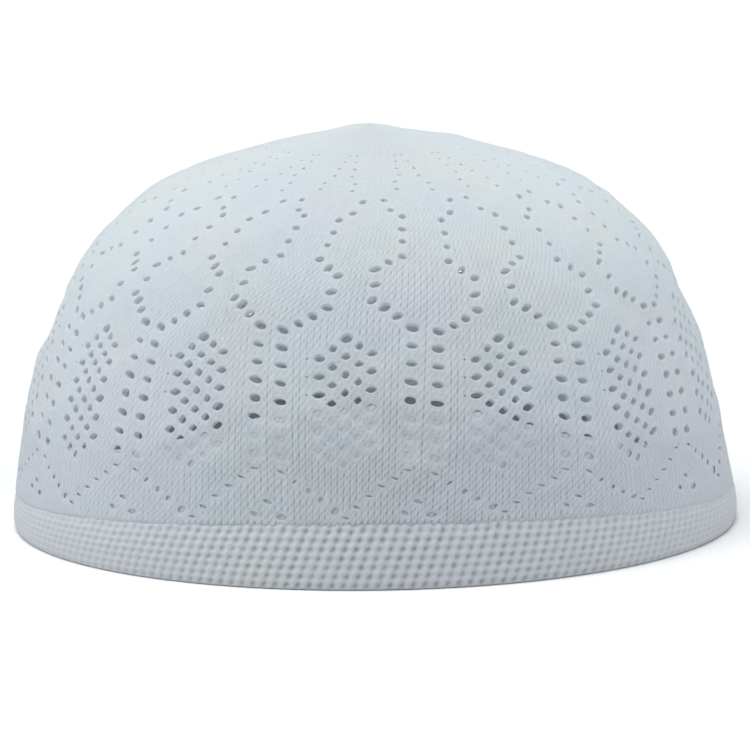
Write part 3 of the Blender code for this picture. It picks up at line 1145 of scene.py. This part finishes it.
@dataclass
class HemBand:
    """The thick hem: slanted ribs of doubled knit with a row of small pits for each course.

    Heights are those of the band where it is tallest. Its sizes are in millimetres.

    Attributes:
        outline: The dome's outline, which the band follows.
        hem: Height of the band round the cap.
        stitches: Stitches round the band.
        columns: Corners across a stitch.
        course: Height of a course.
        lines: Corners up a course.
        first_pit: Height of the lowest row of pits, in courses.
        last_groove: Number of courses above it that have a groove between them and the next.
        tall: Height of the band.
        lean: How far each course is shifted sideways over the one below, in stitches.
        rib: Height of a rib.
        pit: Depth of a pit.
        pit_size: Width and height of a pit, in stitches and courses.
        pit_lean: Share of the ribs' slant that a pit has within itself.
        bead: Height of the slanted beads on the ribs.
        bead_slant: How steeply they slant, in courses a stitch.
        groove: Depth of the groove between two courses.
        rib_level: Share of a rib at which the band's face lies.
        uneven: Share by which the pits vary.
        pit_rows: Rows of pits for which a size is drawn.
        worn_row: Row whose pits vary the most, below the top row, where most are closed.
        worn_size: Smallest and largest size of its pits, where 1 is as planned.
        open_share: Share of the top row's pits that are open.
        open_size: Smallest and largest size of these.
        ragged: How far the band's top edge strays up and down.
        ragged_over: Heights over which the stray comes in.
        foot_over: Heights over which the relief comes in.
        relief: Share of the relief at the sides, and how much more the front has.
        shade: Painted shade at the sides, and how much more the front has, so the sides are painted
            lighter.
        mean_pit: Share of a pit's painted shade that the band has on average.
        groove_shade: How much deeper painted shade a groove has.
        back_shade: Painted shade of the top, inner face and underside.
        seed: Seed of the variation.
        section: Height of the band's outer face, and how far it stands out from the dome's outline.
        back: The same for its top, inner face and underside.
    """

    outline: DomeOutline
    hem: HemLine
    stitches: int = 210
    columns: int = 8
    course: float = 2.06
    lines: int = 5
    first_pit: float = 0.62
    last_groove: int = 7
    tall: float = 15.5
    lean: float = 0.285
    rib: float = 0.22
    pit: float = 0.38
    pit_size: tuple[float, float] = (0.20, 0.26)
    pit_lean: float = 0.6
    bead: float = 0.07
    bead_slant: float = 0.9
    groove: float = 0.08
    rib_level: float = 0.6
    uneven: float = 0.25
    pit_rows: int = 9
    worn_row: int = 6
    worn_size: tuple[float, float] = (0.5, 1.5)
    open_share: float = 0.45
    open_size: tuple[float, float] = (0.4, 1.1)
    ragged: float = 0.25
    ragged_over: tuple[float, float] = (10.0, 15.5)
    foot_over: tuple[float, float] = (0.0, 0.8)
    relief: tuple[float, float] = (0.05, 0.72)
    shade: tuple[float, float] = (0.14, 0.16)
    mean_pit: float = 0.35
    groove_shade: float = 0.15
    back_shade: float = 0.5
    seed: int = 3
    section: Table = (
        (0.0, -1.5), (0.5, -0.85), (1.5, -0.5), (3.5, -0.1), (8.0, 0.2), (12.2, 0.2), (14.0, 0.05),
        (15.5, -0.25),
    )
    back: Table = (
        (15.9, -0.8), (15.9, -3.0), (11.5, -3.5), (7.0, -3.8), (1.0, -4.2), (0.0, -3.7), (0.0, -2.2),
    )

    def __post_init__(self) -> None:
        """Lay out the corners round the band."""
        corner = np.arange(self.stitches * self.columns)
        self.column = corner / self.columns
        self.share = (corner % self.columns) / self.columns

    def build(self, material: bpy.types.Material) -> bpy.types.Object:
        """Build the band.

        Args:
            material: Finish of the doubled knit.

        Returns:
            The band.
        """
        random = np.random.default_rng(self.seed)
        stray = self._stray(random)
        sizes = self._pit_sizes(random)
        rings, pits = [], []
        for height in np.arange(0.0, self.tall + 0.01, self.course / self.lines):
            proud, pit = self._line(height, sizes)
            level = height + stray * blend_in(np.array(height), *self.ragged_over)
            rings.append(self._ring(self.column + self.lean * height / self.course, level, proud))
            pits.append(pit)
        for height, depth in self.back:
            proud = np.full(len(self.column), depth)
            level = height + stray * blend_in(np.array(height), *self.ragged_over)
            rings.append(self._ring(self.column + self.lean * self.tall / self.course, level, proud))
            # The top, inner face and underside take an even painted shade.
            pits.append(np.full(len(self.column), self.back_shade))
        faces = ring_faces(len(rings), len(self.column))
        mesh = mesh_from("hem_band_knit", np.vstack(rings), faces, {"pit": np.concatenate(pits)})
        return finished("hem_band_knit", mesh, material, "hem_band")

    def _stray(self, random: np.random.Generator) -> Array:
        """Draw how far the top edge strays up and down, ending level where the round closes.

        Args:
            random: Source of the variation.

        Returns:
            The stray at each corner round the band.
        """
        drawn = random.normal(0.0, self.ragged, self.stitches + 1)
        stray = np.interp(self.column, np.arange(self.stitches + 1), drawn)
        from_end = np.clip((self.stitches - self.column) / 2.0, 0.0, 1.0)
        return stray * from_end * np.clip(self.column / 2.0, 0.0, 1.0)

    def _pit_sizes(self, random: np.random.Generator) -> Array:
        """Draw the size of each pit.

        Args:
            random: Source of the variation.

        Returns:
            The sizes, 1 as planned, one row for each row of pits.
        """
        sizes = 1.0 + self.uneven * random.uniform(-1.0, 1.0, (self.pit_rows, self.stitches))
        sizes[self.worn_row] = random.uniform(*self.worn_size, self.stitches)
        opened = random.uniform(0.0, 1.0, self.stitches) < self.open_share
        sizes[self.worn_row + 1] = np.where(opened, random.uniform(*self.open_size, self.stitches), 0.0)
        return sizes

    def _line(self, height: float, sizes: Array) -> tuple[Array, Array]:
        """Shape one line of the band's face.

        Args:
            height: Height of the line.
            sizes: Size of each pit.

        Returns:
            How far each corner stands out from the dome's outline, and how deeply its colour is darkened
            with painted shade.
        """
        row = height / self.course
        front = np.cos(math.tau * self.column / self.stitches) ** 2
        side_relief, front_relief = self.relief
        side_shade, front_shade = self.shade
        kept = float(blend_in(np.array(height), *self.foot_over)) * (side_relief + front_relief * front)
        nearest = sizes[int(np.clip(round(row - self.first_pit), 0, len(sizes) - 1))]
        relief, pit = self._stitch(row, np.roll(np.repeat(nearest, self.columns), -self.columns // 2))
        grooved = row < self.first_pit + self.last_groove
        groove = (1.0 + math.cos(math.tau * (row - self.first_pit))) / 2.0 if grooved else 0.0
        proud = float(read_table(self.section, height)) + (relief * kept - self.groove * groove)
        # Painted shade: deeper at the front than at the sides, in the pits and in the grooves.
        shade = side_shade + front_shade * front + (pit - self.mean_pit) * kept + self.groove_shade * groove
        return proud, shade

    def _stitch(self, row: float, size: Array) -> tuple[Array, Array]:
        """Shape the stitches of one line.

        Args:
            row: Courses above the rim.
            size: Size of the pit nearest to each corner, 1 as planned.

        Returns:
            Height of the relief in millimetres, and the painted shade of each corner from 0 to 1, deepest
            in a pit and between the ribs.
        """
        rib = (1.0 - np.cos(math.tau * self.share)) / 2.0
        above = (row - self.first_pit + 0.5) % 1.0 - 0.5
        beside = (self.share + 0.5) % 1.0 - 0.5 + self.pit_lean * self.lean * above
        inside = row > self.first_pit - 0.5
        wide, tall = self.pit_size
        dot = np.exp(-((beside / wide) ** 2) - (above / tall) ** 2) * inside * size
        bead = np.cos(math.tau * (row - self.first_pit - 0.5 - self.bead_slant * (self.share - 0.5)))
        relief = self.rib * (rib - self.rib_level) - self.pit * dot + self.bead * bead * rib
        return relief, np.clip(dot + self.mean_pit * (1.0 - rib), 0.0, 1.0)

    def _ring(self, column: Array, height: Array, proud: Array) -> Array:
        """Place one line's corners, scaled to the band's height round the cap.

        Args:
            column: Stitches round the band.
            height: Height of each corner where the band is tallest.
            proud: How far each corner stands out from the dome's outline.

        Returns:
            The points, one row each.
        """
        azimuth = math.tau * column / self.stitches
        z = height * self.hem.top(azimuth) / self.tall
        radius = np.interp(z, self.outline.heights, self.outline.radii) + proud * MM
        return np.stack([np.sin(azimuth) * radius, -np.cos(azimuth) * radius, z], axis=1)


@dataclass
class InnerFacing:
    """The hem's turned-up layer, which backs the lower wall and closes its eyelets from behind.

    Attributes:
        outline: The dome's outline, behind which the facing lies.
        hem: Where the hem's and the facing's top edges run.
        columns: Corners round the facing.
        lines: Corners up its outer side.
        back_lines: Corners up its inner side.
        overlap: How far it reaches down behind the hem.
        gap: Depth of its outer side behind the wall's face, in millimetres.
        low_gap: The same depth near the hem, where it stands off the wall.
        closing: Lengths up the wall over which it closes in, from low_gap to gap.
        thickness: Its thickness in millimetres.
        rib: Height of its ribs in millimetres.
        shade: How deeply its outer side is darkened with painted shade.
        low_shade: How much deeper painted shade it has near the hem.
        rib_shade: How much deeper painted shade the grooves between its ribs have.
    """

    outline: DomeOutline
    hem: HemLine
    columns: int = 672
    lines: int = 26
    back_lines: int = 7
    overlap: float = 1.5 * MM
    gap: float = 0.27
    low_gap: float = 0.45
    closing: tuple[float, float] = (26.0 * MM, 30.0 * MM)
    thickness: float = 0.9
    rib: float = 0.05
    shade: float = 0.71
    low_shade: float = 0.02
    rib_shade: float = 0.15

    def build(self, material: bpy.types.Material) -> bpy.types.Object:
        """Build the facing.

        Args:
            material: Finish of the plain knit.

        Returns:
            The facing.
        """
        azimuth = math.tau * np.arange(self.columns) / self.columns
        low = self.outline.arc_at(self.hem.top(azimuth) - self.overlap)
        high = self.outline.arc_at(self.hem.facing(azimuth))
        rings, pits = [], []
        for line, share in enumerate(np.linspace(0.0, 1.0, self.lines)):
            arc = low + (high - low) * share
            standing_off = 1.0 - blend_in(arc, *self.closing)
            gap = self.gap + (self.low_gap - self.gap) * standing_off
            wave = np.cos(math.pi * (np.arange(self.columns) + line)) * self.rib
            rings.append(self.outline.place(arc, azimuth, (gap + self.rib + wave) * MM))
            # Painted shade on the outer side, deeper near the hem and in the grooves; the inner side has
            # none.
            pits.append(self.shade + self.low_shade * standing_off + self.rib_shade * wave / self.rib)
        for share in np.linspace(1.0, 0.0, self.back_lines):
            depth = np.full(self.columns, self.low_gap + self.thickness)
            rings.append(self.outline.place(low + (high - low) * share, azimuth, depth * MM))
            pits.append(np.zeros(self.columns))
        faces = ring_faces(len(rings), self.columns)
        back = np.repeat([0.0, 1.0], [self.lines * self.columns, self.back_lines * self.columns])
        shares = {"pit": np.concatenate(pits), "back": back}
        mesh = mesh_from("inner_facing_knit", np.vstack(rings), faces, shares)
        return finished("inner_facing_knit", mesh, material, "inner_facing")


def ring_faces(rings: int, count: int) -> Array:
    """Join rings of corners, and the last with the first, into quads of two triangles.

    Args:
        rings: Number of rings.
        count: Corners in a ring.

    Returns:
        Three corner numbers for each triangle.
    """
    here = np.arange(rings)[:, None] * count
    above = ((np.arange(rings) + 1) % rings)[:, None] * count
    i = np.arange(count)[None, :]
    j = (i + 1) % count
    first = np.stack([here + i, here + j, above + j], axis=2).reshape(-1, 3)
    second = np.stack([here + i, above + j, above + i], axis=2).reshape(-1, 3)
    return np.vstack([first, second])


def vertex_normals(points: Array, faces: Array) -> Array:
    """Find the mean normal at each corner of a mesh of triangles.

    Args:
        points: The corners.
        faces: Three corner numbers for each triangle.

    Returns:
        The normals, one row for each corner.
    """
    a, b, c = points[faces[:, 0]], points[faces[:, 1]], points[faces[:, 2]]
    normal = np.cross(b - a, c - a)
    total = np.zeros_like(points)
    for i in range(3):
        np.add.at(total, faces[:, i], normal)
    tiniest = 1e-15
    return total / np.maximum(np.linalg.norm(total, axis=1, keepdims=True), tiniest)


def mesh_from(name: str, points: Array, faces: Array, shares: dict[str, Array]) -> bpy.types.Mesh:
    """Make a mesh of triangles.

    Args:
        name: Name of the mesh.
        points: Corners in metres.
        faces: Three corner numbers a triangle.
        shares: For each attribute by name, a share from 0 to 1 for each corner.

    Returns:
        The mesh, shaded smooth, with the shares as attributes.
    """
    mesh = bpy.data.meshes.new(name)
    mesh.vertices.add(len(points))
    mesh.vertices.foreach_set("co", points.astype(np.float32).ravel())
    mesh.loops.add(len(faces) * 3)
    mesh.loops.foreach_set("vertex_index", faces.astype(np.int32).ravel())
    mesh.polygons.add(len(faces))
    mesh.polygons.foreach_set("loop_start", np.arange(0, len(faces) * 3, 3, dtype=np.int32))
    mesh.update(calc_edges=True)
    mesh.shade_smooth()
    for label, share in shares.items():
        layer = mesh.attributes.new(label, "FLOAT", "POINT")
        layer.data.foreach_set("value", share.astype(np.float32))
    return mesh


def finished(name: str, mesh: bpy.types.Mesh, material: bpy.types.Material, node: str) -> bpy.types.Object:
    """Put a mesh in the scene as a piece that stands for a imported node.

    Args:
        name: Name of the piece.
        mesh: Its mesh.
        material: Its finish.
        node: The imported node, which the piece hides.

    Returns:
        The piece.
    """
    mesh.materials.append(material)
    piece = bpy.data.objects.new(name, mesh)
    bpy.context.scene.collection.objects.link(piece)
    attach(piece, "root")
    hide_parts(node)
    log.info("%s: %d triangles", name, len(mesh.polygons))
    return piece


class Signal:
    """A shader value that does arithmetic by adding Math nodes."""

    def __init__(self, graph: "Graph", socket: bpy.types.NodeSocket) -> None:
        """Wrap an output socket of a graph."""
        self.graph = graph
        self.socket = socket

    def _math(self, operation: str, first: "Signal | float", second: "Signal | float") -> "Signal":
        """Add a Math node on two values."""
        return self.graph.node("ShaderNodeMath", {"operation": operation}, {0: first, 1: second})

    def __add__(self, other: "Signal | float") -> "Signal":
        """Add."""
        return self._math("ADD", self, other)

    def __radd__(self, other: float) -> "Signal":
        """Add to a number."""
        return self._math("ADD", other, self)

    def __sub__(self, other: "Signal | float") -> "Signal":
        """Subtract."""
        return self._math("SUBTRACT", self, other)

    def __rsub__(self, other: float) -> "Signal":
        """Subtract from a number."""
        return self._math("SUBTRACT", other, self)

    def __mul__(self, other: "Signal | float") -> "Signal":
        """Multiply."""
        return self._math("MULTIPLY", self, other)

    def __rmul__(self, other: float) -> "Signal":
        """Multiply a number."""
        return self._math("MULTIPLY", other, self)


class Graph:
    """A material's node tree, to which nodes are added by type, settings and inputs."""

    def __init__(self, name: str) -> None:
        """Make a material with an empty tree.

        Args:
            name: Name of the material.
        """
        self.material = bpy.data.materials.new(name)
        self.material.use_nodes = True
        self.tree = self.material.node_tree
        self.tree.nodes.clear()

    def node(self, kind: str, settings: Options, inputs: Options, output: int | str = 0) -> Signal:
        """Add a node.

        Args:
            kind: Type of node.
            settings: Its settings by name.
            inputs: Values, colours or signals by socket.
            output: The output to return.

        Returns:
            The output as a signal.
        """
        made = self.tree.nodes.new(kind)
        for name, value in settings.items():
            setattr(made, name, value)
        for key, value in inputs.items():
            if isinstance(value, Signal):
                self.tree.links.new(value.socket, made.inputs[key])
            else:
                made.inputs[key].default_value = value
        return Signal(self, made.outputs[output])

    def mix(self, share: Signal, first: object, second: object) -> Signal:
        """Mix two colours by a share."""
        return self.node("ShaderNodeMix", {"data_type": "RGBA"}, {0: share, 6: first, 7: second}, 2)

    def noise(self, place: Signal, scale: float, detail: float) -> Signal:
        """Add a noise over places, with its scale in features a metre."""
        return self.node("ShaderNodeTexNoise", {}, {"Vector": place, "Scale": scale, "Detail": detail})

    def attribute(self, name: str) -> Signal:
        """Read one of the mesh's shares."""
        return self.node("ShaderNodeAttribute", {"attribute_name": name}, {}, "Fac")

    def show(self, shader: Signal) -> None:
        """Show a shader on the surface."""
        end = self.tree.nodes.new("ShaderNodeOutputMaterial")
        self.tree.links.new(shader.socket, end.inputs["Surface"])

@dataclass(frozen=True)
class CottonFinish:
    """Matt white cotton yarn.

    Attributes:
        name: Name of the finish.
        colour: Colour of the yarn where it stands proud.
        shade: Colour of the painted shade, which the mesh's pit share mixes into the yarn's colour.
        warm: Faint warmer tint of some patches.
        cool: Faint cooler tint of others, mostly low on the wall.
        fibre: Height of the fibre's relief.
        glow: Share of the light that passes through the cloth's face.
        inner_glow: Share that passes through its back.
        roughness: Roughness of the yarn.
        flecks: How strongly single fibres differ in shade.
        fuzz: Weight of the sheen from loose fibres.
    """

    name: str
    colour: Colour
    shade: Colour
    warm: Colour
    cool: Colour
    fibre: float
    glow: float
    inner_glow: float
    roughness: float = 0.9
    flecks: float = 0.30
    fuzz: float = 0.12

    def material(self) -> bpy.types.Material:
        """Make the finish as a material.

        Returns:
            The material.
        """
        graph = Graph(self.name)
        place = graph.node("ShaderNodeTexCoord", {}, {}, "Object")
        speck = graph.noise(place, scale=900.0, detail=2.0)
        hair = graph.noise(place, scale=3200.0, detail=3.0)
        pit = graph.attribute("pit")
        # Painted shade from the pit share, with the fibres' own random specks.
        shade_and_flecks = pit + (speck - 0.5) * self.flecks
        relief = {"Strength": 0.55, "Distance": self.fibre, "Height": hair * 0.6 + speck * 0.4}
        yarn = {
            "Base Color": graph.mix(shade_and_flecks, self._tinted(graph, place), self.shade),
            "Roughness": self.roughness,
            "Specular IOR Level": 0.2,
            "Sheen Weight": self.fuzz,
            "Sheen Roughness": 0.5,
            "Normal": graph.node("ShaderNodeBump", {}, relief, "Normal"),
        }
        cloth = graph.node("ShaderNodeBsdfPrincipled", {}, yarn)
        through = graph.node("ShaderNodeBsdfTranslucent", {}, {"Color": (0.96, 0.98, 1.0, 1.0)})
        share = graph.attribute("back") * (self.inner_glow - self.glow) + self.glow
        graph.show(graph.node("ShaderNodeMixShader", {}, {0: share, 1: cloth, 2: through}))
        return graph.material

    def _tinted(self, graph: Graph, place: Signal) -> Signal:
        """Tint patches of the yarn warmer or cooler.

        Args:
            graph: The material's tree.
            place: Places on the cloth.

        Returns:
            The yarn's colour.
        """
        height = graph.node("ShaderNodeSeparateXYZ", {}, {"Vector": place}, "Z")
        patchy, warm_from = 3.0, 1.2
        drifting, lower, cool_from = 3.5, 16.0, 0.9
        warmer = graph.noise(place, scale=38.0, detail=2.0) * patchy - warm_from
        cooler = graph.noise(place, scale=24.0, detail=1.0) * drifting - height * lower - cool_from
        return graph.mix(cooler, graph.mix(warmer, self.colour, self.warm), self.cool)


OPENWORK_KNIT = CottonFinish(
    name="openwork_cotton_knit",
    colour=(0.838, 0.904, 0.942, 1.0),
    shade=(0.40, 0.44, 0.47, 1.0),
    warm=(0.893, 0.918, 0.882, 1.0),
    cool=(0.875, 0.876, 0.955, 1.0),
    fibre=0.12 * MM,
    glow=0.36,
    inner_glow=0.7,
)
# Same white yarn as the openwork, with colours set darker: painted shade over the whole hem band.
DOUBLED_KNIT = CottonFinish(
    name="doubled_cotton_knit",
    colour=(0.64, 0.672, 0.69, 1.0),
    shade=(0.345, 0.375, 0.40, 1.0),
    warm=(0.655, 0.678, 0.65, 1.0),
    cool=(0.638, 0.652, 0.70, 1.0),
    fibre=0.12 * MM,
    glow=0.1,
    inner_glow=0.1,
)
# Colours set a little lighter than the openwork's: painted light on the facing's inner side, which the
# lower eyelets show; its outer side is darkened by painted shade through the pit share.
PLAIN_KNIT = CottonFinish(
    name="plain_cotton_knit",
    colour=(0.93, 0.955, 0.975, 1.0),
    shade=(0.48, 0.51, 0.535, 1.0),
    warm=(0.94, 0.955, 0.93, 1.0),
    cool=(0.93, 0.93, 0.985, 1.0),
    fibre=0.10 * MM,
    glow=0.3,
    inner_glow=0.06,
)


@dataclass
class Studio:
    """Camera, floor and soft light.

    Attributes:
        camera_spot: Where the camera stands.
        elevation: How far it looks down, in radians.
        roll: How far it is turned about its axis, in radians.
        focal: Focal length in pixels of the photograph's frame.
        centre: Pixel through which its axis passed in the photograph.
        frame_size: Width of the photograph's frame in pixels.
        sensor: Width of the camera's sensor in millimetres.
        clip: Nearest and farthest distance that the camera shows.
        floor_reach: Distance from the floor's middle to its edges.
        floor_colour: Colour of the floor.
        sky: Strength of the even light from all round.
        sky_colour: Colour of that light.
        lamp_colour: Colour of the soft lights.
        softboxes: Name, azimuth, elevation, strength and width of each soft light, with angles in degrees.
    """

    camera_spot: tuple[float, float, float] = (0.0, -1.0781, 0.2118)
    elevation: float = 0.153493
    roll: float = -0.013282
    focal: float = 4428.2
    centre: tuple[float, float] = (372.994, 336.591)
    frame_size: float = 750.0
    sensor: float = 36.0
    clip: tuple[float, float] = (0.05, 50.0)
    floor_reach: float = 14.0
    floor_colour: Colour = (0.88, 0.885, 0.89, 1.0)
    sky: float = 0.08
    sky_colour: Colour = (0.94, 0.975, 1.0, 1.0)
    lamp_colour: tuple[float, float, float] = (0.97, 0.99, 1.0)
    softboxes: tuple[tuple[str, float, float, float, float], ...] = (
        ("softbox_above", -50.0, 78.0, 2.97, 50.0), ("softbox_left", -78.0, 15.0, 0.97, 60.0),
        ("softbox_right", 86.0, 15.0, 1.35, 60.0),
    )

    def build(self) -> None:
        """Set up the camera, the floor, the lights and the sky."""
        self._camera()
        self._floor()
        self._lights()
        self._sky()

    def _camera(self) -> None:
        """Make the camera, aimed so that its axis meets the frame's middle."""
        forward = Vector((0.0, math.cos(self.elevation), -math.sin(self.elevation)))
        level_up = Vector((0.0, math.sin(self.elevation), math.cos(self.elevation)))
        side = Vector((1.0, 0.0, 0.0))
        right = side * math.cos(self.roll) + level_up * math.sin(self.roll)
        up = level_up * math.cos(self.roll) - side * math.sin(self.roll)
        middle = self.frame_size / 2
        aim = forward * self.focal + right * (middle - self.centre[0]) - up * (middle - self.centre[1])
        aim.normalize()
        right = (right - aim * right.dot(aim)).normalized()
        up = right.cross(aim)
        turn = Matrix((right, up, -aim)).transposed().to_4x4()
        data = bpy.data.cameras.new("camera")
        data.sensor_width = self.sensor
        data.lens = self.sensor * self.focal / self.frame_size
        data.clip_start, data.clip_end = self.clip
        camera = bpy.data.objects.new("camera", data)
        camera.matrix_world = Matrix.Translation(Vector(self.camera_spot)) @ turn
        bpy.context.scene.collection.objects.link(camera)
        bpy.context.scene.camera = camera

    def _floor(self) -> None:
        """Lay a wide pale floor under the cap."""
        reach = self.floor_reach
        corners = [(-reach, -reach, 0.0), (reach, -reach, 0.0), (reach, reach, 0.0), (-reach, reach, 0.0)]
        mesh = bpy.data.meshes.new("floor")
        mesh.from_pydata(corners, [], [(0, 1, 2, 3)])
        graph = Graph("pale_floor")
        paint = {"Base Color": self.floor_colour, "Roughness": 0.9, "Specular IOR Level": 0.1}
        graph.show(graph.node("ShaderNodeBsdfPrincipled", {}, paint))
        mesh.materials.append(graph.material)
        floor = bpy.data.objects.new("floor", mesh)
        bpy.context.scene.collection.objects.link(floor)

    def _lights(self) -> None:
        """Hang soft lights above and beside the cap."""
        for name, azimuth, elevation, strength, width in self.softboxes:
            data = bpy.data.lights.new(name, "SUN")
            data.angle = math.radians(width)
            data.energy = strength
            data.color = self.lamp_colour
            light = bpy.data.objects.new(name, data)
            turn, tip = math.radians(azimuth), math.radians(elevation)
            level = math.cos(tip)
            towards = Vector((math.sin(turn) * level, -math.cos(turn) * level, math.sin(tip)))
            light.rotation_mode = "QUATERNION"
            light.rotation_quaternion = towards.to_track_quat("Z", "Y")
            bpy.context.scene.collection.objects.link(light)

    def _sky(self) -> None:
        """Light the sky evenly and show colours as they are."""
        world = bpy.data.worlds.new("studio")
        world.use_nodes = True
        sky = world.node_tree.nodes["Background"]
        sky.inputs["Color"].default_value = self.sky_colour
        sky.inputs["Strength"].default_value = self.sky
        bpy.context.scene.world = world
        bpy.context.scene.view_settings.view_transform = "Standard"


def main() -> None:
    """Build the cap and its studio."""
    logging.basicConfig(level=logging.INFO, format="%(message)s")
    Studio().build()
    outline = DomeOutline()
    hem = HemLine()
    layout = KnitLayout(outline)
    sheet = RepeatSheet(EyeletChart(layout))
    CapWall(layout, hem, sheet).build(OPENWORK_KNIT.material())
    HemBand(outline, hem).build(DOUBLED_KNIT.material())
    InnerFacing(outline, hem).build(PLAIN_KNIT.material())


if __name__ == "__main__":
    main()
